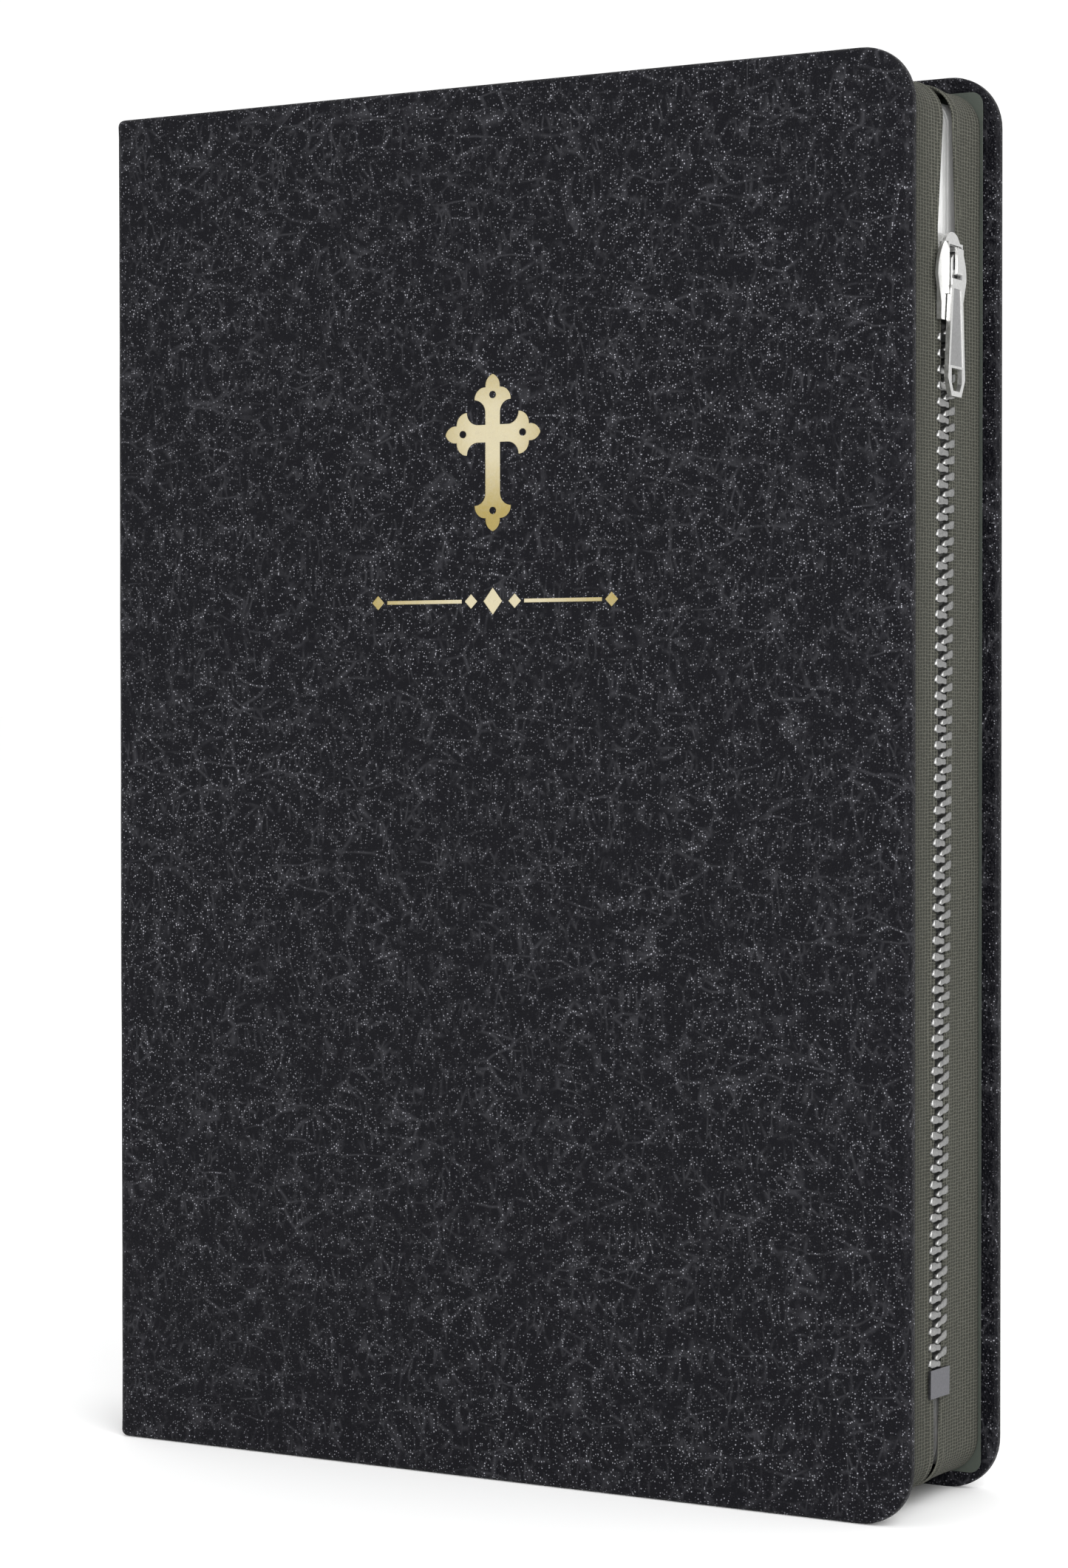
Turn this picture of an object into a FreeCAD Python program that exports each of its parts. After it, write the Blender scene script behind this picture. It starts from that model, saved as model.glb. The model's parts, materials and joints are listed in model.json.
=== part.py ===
import FreeCAD, Part
import math
import os
import Sketcher

# A zippered book: text block, soft leather covers and a fabric gusset closed by a metal zip.
# Millimetres. The book stands on its tail: +Z up, the front cover faces -Y, the fore-edge +X.

Vector = FreeCAD.Vector

DIMENSIONS = {
    # whole book
    "book_height": 222.6,
    "cover_width": 147.3,
    "book_thickness": 35.0,
    # covers
    "cover_thickness": 2.5,
    "cover_corner": 8.5,
    "cover_arris": 0.9,
    "board_thickness": 1.2,
    "lining_thickness": 0.5,
    "turn_in": 2.2,
    "turn_in_corner": 3.0,
    "hinge_turn_in": 4.0,
    "hinge_gap": 0.3,
    # spine
    "spine_skin": 0.8,
    "spine_return": 2.7,
    "spine_corner": 1.6,
    "stiffener_thickness": 1.0,
    "liner_thickness": 0.3,
    "gauze_thickness": 0.3,
    "backs_depth": 5.1,
    # text block
    "page_height": 214.0,
    "leaves_thickness": 29.1,
    "page_depth": 134.0,
    "page_corner": 4.5,
    "leaf_gap": 0.12,
    "fold_gap": 0.7,
    "fold_half": 0.1,
    "fold_length": 10.0,
    "flyleaf_thickness": 0.25,
    "headband_height": 1.3,
    "headband_depth": 1.9,
    # fabric gusset that carries the zip
    "wall_setback": 2.75,
    "wall_thickness": 0.6,
    "wall_corner": 5.75,
    "wall_from_spine": 8.4,
    "hem_width": 1.5,
    "hem_thickness": 0.4,
    # slit between the two halves of the gusset
    "slit_middle": 0.28,
    "slit_lean": 0.018,
    "slit_chain_half": 1.7,
    "slit_nose_half": 3.4,
    "slit_head_half": 1.2,
    "slit_stop_half": 1.1,
    "slit_tail_half": 0.65,
    # zip chain
    "teeth_count": 64,
    "tooth_pitch": 2.5,
    "tooth_height": 1.05,
    "tooth_first": 22.65,
    "tooth_reach": 0.65,
    "chain_half": 2.95,
    "tooth_proud": 0.35,
    "tooth_inside": 0.3,
    "tooth_rounding": 0.2,
    "stop_low": 17.45,
    "stop_height": 4.4,
    "stop_half": 3.45,
    "stop_plate": 0.4,
    "stop_fold_half": 1.3,
    # slider
    "slider_low": 182.75,
    "slider_length": 13.7,
    "slide_gap": 0.1,
    "tape_play": 0.15,
    "plate_thickness": 0.5,
    "inner_plate_thickness": 0.5,
    "foot_half": 3.95,
    "foot_height": 2.6,
    "wing_half": 5.2,
    "wing_height": 6.6,
    "flange_width": 0.75,
    "flange_height": 5.5,
    "wedge_half": 1.35,
    "wedge_low": 7.6,
    "wedge_high": 13.4,
    "rail_half": 2.65,
    "rail_width": 0.4,
    "rail_height": 0.5,
    "rail_low": 4.0,
    "rail_high": 12.0,
    "crown_height": 1.35,
    "crown_half": 1.1,
    "crown_low": 7.0,
    "crown_high": 11.2,
    "crown_foot": 0.7,
    "strap_thickness": 0.45,
    "spring_thickness": 0.1,
    "spring_half": 0.8,
    "spring_low": 7.75,
    "spring_high": 9.15,
    # pull tab, measured from the foot of the slider
    "pull_thickness": 0.6,
    "pull_rim": 0.12,
    "pull_rim_width": 0.75,
    "pull_lift": 0.15,
    "pull_top": 10.05,
    "pull_slot_top": 9.45,
    "pull_slot_low": 6.4,
    "pull_slot_half": 1.3,
    "pull_eye_half": 1.93,
    "pull_neck_half": 2.05,
    "pull_neck_height": 4.9,
    "pull_widest": 3.12,
    "pull_widest_low": 8.9,
    "pull_tip": 11.6,
    "pull_tip_half": 1.8,
    "pull_window_half": 1.9,
    "pull_window_top": 7.3,
    "pull_window_side": 9.5,
    "pull_window_low": 10.8,
    # gold ornament pressed into the front cover
    "recess_depth": 0.3,
    "foil_thickness": 0.08,
    "cross_middle_height": 167.1,
    "cross_offset": 74.41,
    "cross_up": 9.45,
    "cross_side": 8.85,
    "cross_down": 15.55,
    "cross_stroke": 2.8,
    "shoulder_half": 3.4,
    "shoulder_from_tip": 4.1,
    "bud_half": 1.35,
    "bud_length": 1.9,
    "bud_fillet": 2.0,
    "bud_hole": 0.58,
    "bud_hole_from_tip": 3.3,
    "rule_middle_height": 140.45,
    "rule_length": 45.8,
    "rule_height": 4.4,
    "rule_stroke": 0.6,
}

doc = FreeCAD.newDocument("zippered_book")
sheet = doc.addObject("Spreadsheet::Sheet", "sheet")
for row, (alias, number) in enumerate(DIMENSIONS.items(), start=1):
    sheet.set(f"A{row}", alias)
    sheet.set(f"B{row}", str(number))
    sheet.setAlias(f"B{row}", alias)
doc.recompute()


class Dim:
    """A length that knows its number and the spreadsheet expression that gives it."""

    def __init__(self, number, text):
        self.number = number
        self.text = text

    def _join(self, other, sign, number):
        return Dim(number, f"({self.text} {sign} {dim(other).text})")

    def __add__(self, other):
        return self._join(other, "+", self.number + dim(other).number)

    def __sub__(self, other):
        return self._join(other, "-", self.number - dim(other).number)

    def __mul__(self, other):
        return self._join(other, "*", self.number * dim(other).number)

    def __truediv__(self, other):
        return self._join(other, "/", self.number / dim(other).number)

    def __neg__(self):
        return Dim(-self.number, f"(0 - {self.text})")


def dim(value):
    """A plain number as a length; a length stays as it is."""
    return value if isinstance(value, Dim) else Dim(float(value), repr(float(value)))


def cell(alias):
    """The spreadsheet's cell of that name as a length."""
    return Dim(float(getattr(sheet, alias)), f"sheet.{alias}")


def size(alias):
    return cell(alias).number


# Faces and lines that several pieces share.
height = cell("book_height")
spine_x = -(cell("cover_width") / 2)
fore_x = spine_x + cell("cover_width")
inner_y = cell("book_thickness") / 2 - cell("cover_thickness")
hinge_x = spine_x + cell("spine_return") + cell("hinge_gap")
wall_x = fore_x - cell("wall_setback")
wall_back_x = wall_x - cell("wall_thickness")
page_low = (height - cell("page_height")) / 2
backs_x = (spine_x + cell("spine_skin") + cell("stiffener_thickness")
           + cell("liner_thickness") + cell("gauze_thickness"))
fold_x = backs_x + cell("backs_depth") + cell("fold_gap")

SIDES = {"front": -1, "back": 1}


def finish_check():
    """Recomputes the document and stops on any object that failed."""
    doc.recompute()
    for item in doc.Objects:
        if "Invalid" in item.State or "Error" in item.State:
            raise RuntimeError(f"{item.Label}: {item.State}")


# ---------------------------------------------------------------- helpers for PartDesign bodies

def new_body(label, x=0, y=0, z=0):
    body = doc.addObject("PartDesign::Body", label)
    body.Label = label
    for axis, place in (("x", x), ("y", y), ("z", z)):
        body.setExpression(f"Placement.Base.{axis}", dim(place).text)
    return body


def origin_plane(body, role):
    return next(f for f in body.Origin.OriginFeatures if f.Role == role)


def polygon_sketch(body, role, points, offset=0):
    """Closed outline of straight edges, each corner held by two lengths from the origin."""
    sketch = body.newObject("Sketcher::SketchObject", "Outline")
    sketch.AttachmentSupport = [(origin_plane(body, role), "")]
    sketch.MapMode = "FlatFace"
    sketch.setExpression("AttachmentOffset.Base.z", dim(offset).text)
    corners = [(dim(a), dim(b)) for a, b in points]
    flat = [Vector(a.number, b.number, 0) for a, b in corners]
    for start, end in zip(flat, flat[1:] + flat[:1]):
        sketch.addGeometry(Part.LineSegment(start, end))
    for index in range(len(flat)):
        following = (index + 1) % len(flat)
        sketch.addConstraint(Sketcher.Constraint("Coincident", index, 2, following, 1))
    for index, (a, b) in enumerate(corners):
        for kind, length in (("DistanceX", a), ("DistanceY", b)):
            rule = Sketcher.Constraint(kind, -1, 1, index, 1, length.number)
            number = sketch.addConstraint(rule)
            sketch.setExpression(f"Constraints[{number}]", length.text)
    return sketch


def rectangle(x_low, x_high, y_low, y_high):
    return [(x_low, y_low), (x_high, y_low), (x_high, y_high), (x_low, y_high)]


def pad(body, sketch, length, reverse=False):
    feature = body.newObject("PartDesign::Pad", "Pad")
    feature.Profile = sketch
    feature.setExpression("Length", dim(length).text)
    feature.Reversed = reverse
    doc.recompute()
    return feature


def pocket(body, sketch, length, reverse=False, both_ways=False):
    """Cuts the outline out of the body and makes sure that something was cut."""
    before = body.Shape.Volume
    feature = body.newObject("PartDesign::Pocket", "Pocket")
    feature.Profile = sketch
    feature.setExpression("Length", dim(length).text)
    feature.Reversed = reverse
    feature.SideType = "Symmetric" if both_ways else "One side"
    doc.recompute()
    if body.Shape.Volume >= before - 0.001:
        raise RuntimeError(f"{body.Label}: a pocket cut nothing")
    return feature


def round_edges(body, radius, wanted):
    """Fillets the edges of the body's tip whose bounding box the test accepts."""
    base = body.Tip
    names = [f"Edge{number}" for number, edge in enumerate(base.Shape.Edges, start=1)
             if wanted(edge.BoundBox)]
    if not names:
        raise RuntimeError(f"{body.Label}: no edge to round")
    feature = body.newObject("PartDesign::Fillet", "Fillet")
    feature.Base = (base, names)
    feature.setExpression("Radius", dim(radius).text)
    doc.recompute()
    return feature


def near(a, b):
    return abs(a - b) < 0.01


def runs_along_y_at(x):
    """Test for edges that run through the thickness at one x."""
    return lambda box: box.YLength > 0.2 and near(box.XMin, x) and near(box.XMax, x)


# ---------------------------------------------------------------- covers

def cover_leather(side, label):
    """Leather skin of one cover: a plate with turned-in edges round a shallow inner recess."""
    sign = SIDES[side]
    out = sign > 0
    body = new_body(label, hinge_x, inner_y * sign, 0)
    length = fore_x - hinge_x
    pad(body, polygon_sketch(body, "XZ_Plane", rectangle(0, length, 0, height)),
        cell("cover_thickness"), out)
    turn_in = cell("turn_in")
    recess = rectangle(cell("hinge_turn_in"), length - turn_in, turn_in, height - turn_in)
    pocket(body, polygon_sketch(body, "XZ_Plane", recess),
           cell("board_thickness") + cell("lining_thickness"), not out)
    recess_end = (length - turn_in).number
    round_edges(body, cell("turn_in_corner"), runs_along_y_at(recess_end))
    round_edges(body, cell("cover_corner"), runs_along_y_at(length.number))
    outer = sign * size("cover_thickness")

    def outer_arris(box):
        return near(box.YMin, outer) and near(box.YMax, outer) and box.XMax > 1.0
    round_edges(body, cell("cover_arris"), outer_arris)
    return body


def recess_sheet(side, label, thickness, depth):
    """Flat sheet that fills the cover's inner recess, its inner face that deep in the recess."""
    sign = SIDES[side]
    turn_in = cell("turn_in")
    length = fore_x - hinge_x - turn_in - cell("hinge_turn_in")
    body = new_body(label, hinge_x + cell("hinge_turn_in"),
                    (inner_y + depth) * sign, turn_in)
    outline = rectangle(0, length, 0, height - turn_in * 2)
    pad(body, polygon_sketch(body, "XZ_Plane", outline), thickness, sign > 0)
    round_edges(body, cell("turn_in_corner"), runs_along_y_at(length.number))
    return body


# ---------------------------------------------------------------- gold ornament

def bud_arm(reach):
    """Half-open arm of a budded cross, pointing along +Y from the crossing, as a flat face."""
    stroke = size("cross_stroke") / 2
    wide = size("shoulder_half")
    shoulder = reach - size("shoulder_from_tip")
    fillet = size("bud_fillet")
    bud = size("bud_half")
    bud_start = reach - size("bud_length")
    bend = fillet * math.sqrt(0.5)

    def side(sign):
        root = Vector(sign * stroke, 0, 0)
        stem = Vector(sign * stroke, shoulder - fillet, 0)
        hollow = Vector(sign * (wide - bend), shoulder - fillet + bend, 0)
        tip_out = Vector(sign * wide, shoulder, 0)
        lobe = Vector(sign * (wide - 0.3), shoulder + 1.1, 0)
        neck = Vector(sign * bud, bud_start - 0.2, 0)
        ogive = Vector(sign * bud * 0.86, bud_start + 0.9, 0)
        tip = Vector(0, reach, 0)
        return [Part.LineSegment(root, stem).toShape(), Part.Arc(stem, hollow, tip_out).toShape(),
                Part.Arc(tip_out, lobe, neck).toShape(), Part.Arc(neck, ogive, tip).toShape()]

    base = Part.LineSegment(Vector(-stroke, 0, 0), Vector(stroke, 0, 0)).toShape()
    outline = Part.Wire(Part.__sortEdges__(side(1) + side(-1) + [base]))
    hole = Part.Wire(Part.makeCircle(size("bud_hole"),
                                     Vector(0, reach - size("bud_hole_from_tip"), 0)))
    return Part.Face(outline).cut(Part.Face(hole))


def cross_faces():
    """Budded cross in the XY plane, its crossing at the origin: four arms and the middle."""
    reaches = (size("cross_up"), size("cross_side"), size("cross_down"), size("cross_side"))
    half = size("cross_stroke") / 2
    middle = Part.makePlane(2 * half, 2 * half, Vector(-half, -half, 0))
    arms = []
    for quarter, reach in enumerate(reaches):
        arm = bud_arm(reach)
        arm.rotate(Vector(0, 0, 0), Vector(0, 0, 1), -90 * quarter)
        arms.append(arm)
    return [middle] + arms


def lozenge(middle_x, half_wide, half_high):
    corners = [Vector(middle_x - half_wide, 0, 0), Vector(middle_x, half_high, 0),
               Vector(middle_x + half_wide, 0, 0), Vector(middle_x, -half_high, 0)]
    return Part.Face(Part.makePolygon(corners + corners[:1]))


def rule_faces():
    """Plain printer's rule in the XY plane: two bars, a large lozenge and four small ones."""
    stroke = size("rule_stroke")
    half = size("rule_length") / 2
    high = size("rule_height") / 2
    gap = 1.1
    faces = [lozenge(0, 0.8 * high, high)]
    for sign in (-1, 1):
        inner = sign * (0.8 * high + gap + 1.2)
        outer = sign * (half - 2.4)
        faces.append(lozenge(inner, 1.2, 1.2))
        faces.append(lozenge(sign * (half - 1.2), 1.2, 1.2))
        start = inner + sign * (1.2 + 0.5)
        left = min(start, outer - sign * 0.5)
        faces.append(Part.makePlane(abs(outer - sign * 0.5 - start), stroke,
                                    Vector(left, -stroke / 2, 0)))
    return faces


def on_front(faces, middle_height, depth, thickness):
    """Stands flat faces up on the front cover, thick from that depth outwards, as one shape."""
    front_y = -size("book_thickness") / 2
    middle_x = spine_x.number + size("cross_offset")
    solids = []
    for face in faces:
        stood = face.copy()
        stood.rotate(Vector(0, 0, 0), Vector(1, 0, 0), 90)
        stood.translate(Vector(middle_x, front_y + depth, middle_height))
        solids.append(stood.extrude(Vector(0, -thickness, 0)))
    return solids[0].multiFuse(solids[1:]).removeSplitter()


def feature(label, shape, placement=None):
    item = doc.addObject("Part::Feature", label)
    item.Label = label
    item.Shape = shape
    if placement is not None:
        item.Placement = placement
    return item


# ---------------------------------------------------------------- gusset and zip chain

def slit_y(z):
    """Middle of the slit at that height: the chain leans a little from tail to head."""
    return cell("slit_middle") + cell("slit_lean") * (dim(z) - height / 2)


def gusset(side, label):
    """Fabric wall on three sides of one cover, with a sewn hem, cut along its side of the slit."""
    sign = SIDES[side]
    body = new_body(label)
    setback = cell("wall_setback")
    start_x = spine_x + cell("wall_from_spine")
    beyond = inner_y + 8
    cover_offset = -(inner_y * sign)
    wall = rectangle(start_x, wall_x, setback, height - setback)
    pad(body, polygon_sketch(body, "XZ_Plane", wall, cover_offset), beyond, sign < 0)

    thickness = cell("wall_thickness")
    cuts = [(thickness + cell("hem_width"), cover_offset),
            (thickness, -((inner_y - cell("hem_thickness")) * sign))]
    for inset, offset in cuts:
        inside = rectangle(start_x - 1, wall_x - inset, setback + inset, height - setback - inset)
        pocket(body, polygon_sketch(body, "XZ_Plane", inside, offset), beyond + 1, sign > 0)
        round_edges(body, cell("wall_corner") - inset, runs_along_y_at((wall_x - inset).number))
    round_edges(body, cell("wall_corner"), runs_along_y_at(wall_x.number))
    slider_nose = cell("slider_low") + cell("slider_length")
    stop_low = cell("stop_low")
    edge = [(dim(-1), cell("slit_tail_half")), (setback, cell("slit_tail_half")),
            (stop_low - 0.5, cell("slit_stop_half")), (stop_low, cell("slit_chain_half")),
            (cell("slider_low"), cell("slit_chain_half")), (slider_nose, cell("slit_nose_half")),
            (height - setback, cell("slit_head_half")), (height + 1, cell("slit_head_half"))]
    cut_away = [(slit_y(z) + half * sign, z) for z, half in edge]
    cut_away += [(dim(-30 * sign), height + 1), (dim(-30 * sign), dim(-1))]
    pocket(body, polygon_sketch(body, "YZ_Plane", cut_away), dim(400), both_ways=True)
    return body


def tooth(side):
    """One tooth, crimped over the tape's edge, its head pointing across the slit."""
    sign = SIDES[side]
    low_x = wall_back_x.number - size("tooth_inside")
    deep = wall_x.number + size("tooth_proud") - low_x
    wide = size("chain_half") + size("tooth_reach")
    tall = size("tooth_height")
    block = Part.makeBox(deep, wide, tall, Vector(low_x, -size("tooth_reach"), -tall / 2))
    face_edges = [e for e in block.Edges if near(e.BoundBox.XMin, low_x + deep)]
    block = block.makeFillet(size("tooth_rounding"), face_edges)
    jaw = Part.makeBox(size("wall_thickness"), wide, tall + 1,
                       Vector(wall_back_x.number, size("slit_chain_half"), -tall / 2 - 0.5))
    shape = block.cut(jaw)
    if sign < 0:
        shape = shape.mirror(Vector(0, 0, 0), Vector(0, 1, 0))
    return shape


def teeth(side, label):
    """One row of the chain: equal teeth a pitch apart, the back row half a pitch higher."""
    one = tooth(side)
    shift = size("tooth_pitch") / 2 if side == "back" else 0.0
    row = []
    for number in range(int(size("teeth_count"))):
        z = size("tooth_first") + shift + number * size("tooth_pitch")
        copy = one.copy()
        copy.translate(Vector(0, slit_y(z).number, z))
        row.append(copy)
    return feature(label, Part.makeCompound(row))


def along_chain(z):
    """Placement of a piece drawn upright at y = 0 that stands on the leaning chain at z."""
    lean = math.degrees(math.atan(size("slit_lean")))
    return FreeCAD.Placement(Vector(0, slit_y(z).number, z),
                             FreeCAD.Rotation(Vector(1, 0, 0), -lean))


def bottom_stop():
    """Folded steel clip on the back tape's edge; the front tape slides out between its plates."""
    half = size("stop_half")
    tall = size("stop_height")
    play = size("tape_play")
    low_x = wall_back_x.number - play - size("stop_plate")
    high_x = wall_x.number + play + size("stop_plate")
    block = Part.makeBox(high_x - low_x, 2 * half, tall, Vector(low_x, -half, 0))
    front_slot = Part.makeBox(size("wall_thickness") + 2 * play, 2 * half, tall,
                              Vector(wall_back_x.number - play,
                                     -2 * half - size("stop_fold_half"), 0))
    back_slot = Part.makeBox(size("wall_thickness"), 2 * half, tall,
                             Vector(wall_back_x.number, size("slit_chain_half"), 0))
    return feature("zip_bottom_stop", block.cut(front_slot).cut(back_slot),
                   along_chain(size("stop_low")))


# ---------------------------------------------------------------- slider and pull

def plate_x():
    """Outer face of the slider's outer plate, on which the crown stands."""
    return (wall_x + cell("tooth_proud") + cell("slide_gap") + cell("plate_thickness")).number


def prism(points, low_x, depth):
    """Straight-sided solid whose outline is given as (y, z) pairs."""
    corners = [Vector(low_x, y, z) for y, z in points]
    return Part.Face(Part.makePolygon(corners + corners[:1])).extrude(Vector(depth, 0, 0))


def mirrored_loop(right):
    """Closed outline, symmetric about y = 0, from the points of its right half."""
    return right + [(-y, z) for y, z in reversed(right)]


def slider_outline():
    """Face of the slider's plate in the YZ plane at x = 0, its foot at z = 0."""
    foot, wing = size("foot_half"), size("wing_half")
    right = [Vector(0, y, z) for y, z in
             [(foot, 0), (foot, size("foot_height")), (wing, size("wing_height")),
              (0.94 * wing, 0.65 * size("slider_length")),
              (0.51 * wing, 0.89 * size("slider_length"))]]
    left = [Vector(0, -p.y, p.z) for p in right]
    nose = Vector(0, 0, size("slider_length"))
    edges = [Part.LineSegment(left[0], right[0]).toShape(),
             Part.LineSegment(right[0], right[1]).toShape(),
             Part.LineSegment(right[1], right[2]).toShape(),
             Part.Arc(right[2], right[3], right[4]).toShape(),
             Part.Arc(right[4], nose, left[4]).toShape(),
             Part.Arc(left[4], left[3], left[2]).toShape(),
             Part.LineSegment(left[2], left[1]).toShape(),
             Part.LineSegment(left[1], left[0]).toShape()]
    return Part.Face(Part.Wire(edges))


def slider_body():
    """Two plates joined by a wedge post, with flanges that guide the teeth and a raised frame."""
    face_x = plate_x()
    outer_in = face_x - size("plate_thickness")
    play = size("tape_play")
    inner_out = wall_back_x.number - size("tooth_inside") - size("slide_gap")
    outline = slider_outline()

    def slab(x_low, thickness):
        flat = outline.copy()
        flat.translate(Vector(x_low, 0, 0))
        return flat.extrude(Vector(thickness, 0, 0))

    solids = [slab(outer_in, size("plate_thickness")),
              slab(inner_out - size("inner_plate_thickness"), size("inner_plate_thickness"))]
    wedge, low, high = size("wedge_half"), size("wedge_low"), size("wedge_high")
    post = mirrored_loop([(0.01, low), (wedge, 0.7 * low + 0.3 * high),
                          (wedge, 0.2 * low + 0.8 * high), (0.01, high)])
    solids.append(prism(post, inner_out, outer_in - inner_out))
    flange, flange_top = size("flange_width"), size("flange_height")
    rail, deep = size("rail_width"), size("rail_height")
    low, high = size("rail_low"), size("rail_high")
    for sign in (-1, 1):
        flange_y = min(sign * size("foot_half"), sign * (size("foot_half") - flange))
        solids.append(Part.makeBox(outer_in - wall_x.number - play, flange, flange_top,
                                   Vector(wall_x.number + play, flange_y, 0)))
        solids.append(Part.makeBox(wall_back_x.number - play - inner_out, flange, flange_top,
                                   Vector(inner_out, flange_y, 0)))
        rail_y = min(sign * size("rail_half"), sign * (size("rail_half") - rail))
        solids.append(Part.makeBox(deep, rail, high - low, Vector(face_x, rail_y, low)))
    solids.append(Part.makeBox(deep, 2 * size("rail_half"), rail,
                               Vector(face_x, -size("rail_half"), high - rail)))
    shape = solids[0].multiFuse(solids[1:]).removeSplitter()
    return feature("slider_body", shape, along_chain(size("slider_low")))


def slider_crown():
    """Arched strap that passes through the pull's eye and holds its top bar to the slider."""
    half, high = size("crown_half"), size("crown_height")
    low_z, foot = size("crown_low"), size("crown_foot")
    tall = size("crown_high") - low_z
    arch = Part.makeBox(high, 2 * half, tall, Vector(plate_x(), -half, low_z))
    ends = [e for e in arch.Edges
            if near(e.BoundBox.XMin, plate_x() + high) and e.BoundBox.YLength > half]
    arch = arch.makeFillet(size("strap_thickness") * 0.9, ends)
    under = Part.makeBox(high - size("strap_thickness"), 4 * half, tall - 2 * foot,
                         Vector(plate_x(), -2 * half, low_z + foot))
    return feature("slider_crown", arch.cut(under), along_chain(size("slider_low")))


def lock_spring():
    """Small leaf spring under the crown, just below the pull's top bar."""
    half = size("spring_half")
    leaf = Part.makeBox(size("spring_thickness"), 2 * half,
                        size("spring_high") - size("spring_low"),
                        Vector(plate_x(), -half, size("spring_low")))
    return feature("slider_lock_spring", leaf, along_chain(size("slider_low")))


def pull_tab():
    """Flat tapered pull with an eye, a raised rim and a six-sided window near its tip."""
    x = plate_x() + size("pull_lift")
    thick = size("pull_thickness")
    rim, rim_width = size("pull_rim"), size("pull_rim_width")
    eye, slot, slot_low = size("pull_eye_half"), size("pull_slot_half"), size("pull_slot_low")
    neck, neck_z = size("pull_neck_half"), size("pull_neck_height")
    wide, top, chamfer = size("pull_widest"), size("pull_top"), 0.5
    outline = mirrored_loop([(size("pull_tip_half"), -size("pull_tip")),
                             (wide, -size("pull_widest_low")), (neck, neck_z),
                             (eye, neck_z + chamfer), (eye, top - chamfer), (eye - chamfer, top)])
    blade = prism(outline, x, thick + rim)
    eye_hole = Part.makeBox(2 * thick, 2 * slot, size("pull_slot_top") - slot_low,
                            Vector(x - thick / 2, -slot, slot_low))
    window_half, window_top = size("pull_window_half"), size("pull_window_top")
    window = mirrored_loop([(window_half - rim_width, -size("pull_window_low")),
                            (window_half, -size("pull_window_side")),
                            (window_half, -window_top)])
    panel = mirrored_loop([(wide - rim_width, rim_width / 2 - window_top),
                           (neck - rim_width, neck_z)])
    above_eye = Part.makeBox(thick, 3 * eye, top, Vector(x + thick, -1.5 * eye, slot_low))
    shape = blade.cut(eye_hole).cut(prism(window, x - thick / 2, 2 * thick))
    shape = shape.cut(prism(panel, x + thick, thick)).cut(above_eye)
    return feature("pull_tab", shape, along_chain(size("slider_low")))


# ---------------------------------------------------------------- spine and text block

def spine_leather():
    """Leather channel over the spine, its two returns reaching the hinges."""
    body = new_body("spine_leather", spine_x, 0, 0)
    half = cell("book_thickness") / 2
    skin = cell("spine_skin")
    ends = cell("spine_return")
    channel = [(0, -half), (ends, -half), (ends, -inner_y), (skin, -inner_y),
               (skin, inner_y), (ends, inner_y), (ends, half), (0, half)]
    pad(body, polygon_sketch(body, "XY_Plane", channel), height)
    round_edges(body, cell("spine_corner"),
                lambda box: box.ZLength > 100 and near(box.XMax, 0)
                and near(abs(box.YMin), half.number))
    return body


def spine_sheet(label, x, thickness, half_width, margin):
    """Flat sheet that lines the spine, that margin short of the head and the tail."""
    body = new_body(label, x, 0, margin)
    outline = rectangle(0, thickness, -half_width, half_width)
    pad(body, polygon_sketch(body, "XY_Plane", outline), height - dim(margin) * 2)
    return body


def section_backs():
    """Glued folds of all the sections."""
    body = new_body("section_backs", backs_x, 0, page_low)
    half = cell("leaves_thickness") / 2
    outline = rectangle(0, cell("backs_depth"), -half, half)
    pad(body, polygon_sketch(body, "XY_Plane", outline), cell("page_height"))
    return body


def headband(label, low_z):
    """Corded band glued across the ends of the section backs."""
    body = new_body(label, backs_x + 0.2, 0, low_z)
    half = cell("leaves_thickness") / 2 - 0.3
    outline = rectangle(0, cell("headband_depth"), -half, half)
    pad(body, polygon_sketch(body, "XY_Plane", outline), cell("headband_height"))
    return body


SECTION_COUNT = 8


def leaf_band(number):
    """Lowest and highest y of one section of leaves, between the two flyleaves."""
    inside = cell("leaves_thickness") - cell("flyleaf_thickness") * 2 - cell("leaf_gap") * 2
    share = inside / SECTION_COUNT
    low = -(inside / 2) + share * number
    return low + cell("leaf_gap") / 2, low + share - cell("leaf_gap") / 2


def leaves(label, low, high, tapered):
    """Block of leaves; one that turns narrows to a fold line at its hinge."""
    middle = (low + high) / 2
    half = (high - low) / 2
    body = new_body(label, fold_x, middle, page_low)
    depth = cell("page_depth")
    fold = cell("fold_half")
    if tapered:
        outline = [(0, -fold), (cell("fold_length"), -half), (depth, -half),
                   (depth, half), (cell("fold_length"), half), (0, fold)]
    else:
        outline = rectangle(-cell("fold_gap"), depth, -half, half)
    pad(body, polygon_sketch(body, "XY_Plane", outline), cell("page_height"))
    round_edges(body, cell("page_corner"), runs_along_y_at(depth.number))
    return body


def flyleaf(side):
    """Stiff endpaper leaf against the first or last section, turning with it."""
    sign = SIDES[side]
    outer = cell("leaves_thickness") / 2
    start = cell("fold_length")
    body = new_body(f"{side}_flyleaf", fold_x + start, outer * sign, page_low)
    thick = cell("flyleaf_thickness")
    outline = rectangle(0, cell("page_depth") - start, 0, -(thick * sign))
    pad(body, polygon_sketch(body, "XY_Plane", outline), cell("page_height"))
    round_edges(body, cell("page_corner"),
                runs_along_y_at((cell("page_depth") - start).number))
    return body


# ---------------------------------------------------------------- the whole book

parts = []

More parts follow.
